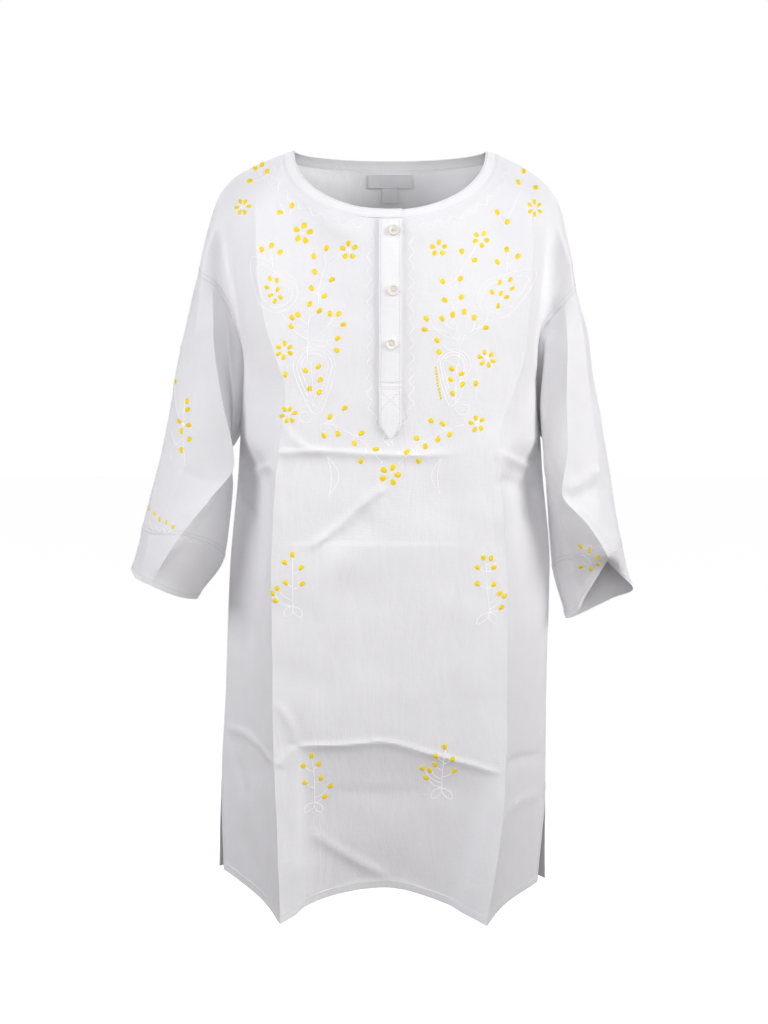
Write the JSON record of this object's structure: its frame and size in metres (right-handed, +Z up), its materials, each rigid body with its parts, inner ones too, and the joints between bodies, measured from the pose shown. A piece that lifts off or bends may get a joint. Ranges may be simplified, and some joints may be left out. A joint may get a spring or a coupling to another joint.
{
  "type": "kurta tunic",
  "caption": "White cotton kurta tunic, held open as worn: round banded neck, buttoned front placket, three-quarter sleeves, side slits and floral embroidery.",
  "frame": {"origin": "midway between the two neck points, where the wearer's shoulders carry the cloth", "axes": "+Z up; the wearer's chest faces -Y and their left arm is at +X"},
  "size_m": [0.552, 0.2482, 0.81],
  "materials": {
    "white_cotton": "matt plain weave",
    "white_facing_cotton": "matt plain weave, folded double",
    "label_tape": "matt woven tape",
    "pearl_resin": "soft pearly sheen"
  },
  "bodies": {
    "root": {"front_panel": "white_cotton", "back_panel": "white_cotton", "right_sleeve": "white_cotton", "left_sleeve": "white_cotton", "right_cuff": "white_cotton", "left_cuff": "white_cotton", "neck_band": "white_facing_cotton", "placket_under": "white_facing_cotton", "placket_upper": "white_facing_cotton", "neck_label": "label_tape", "size_tab": "label_tape", "button_1": "pearl_resin", "button_2": "pearl_resin", "button_3": "pearl_resin"}
  },
  "joints": []
}
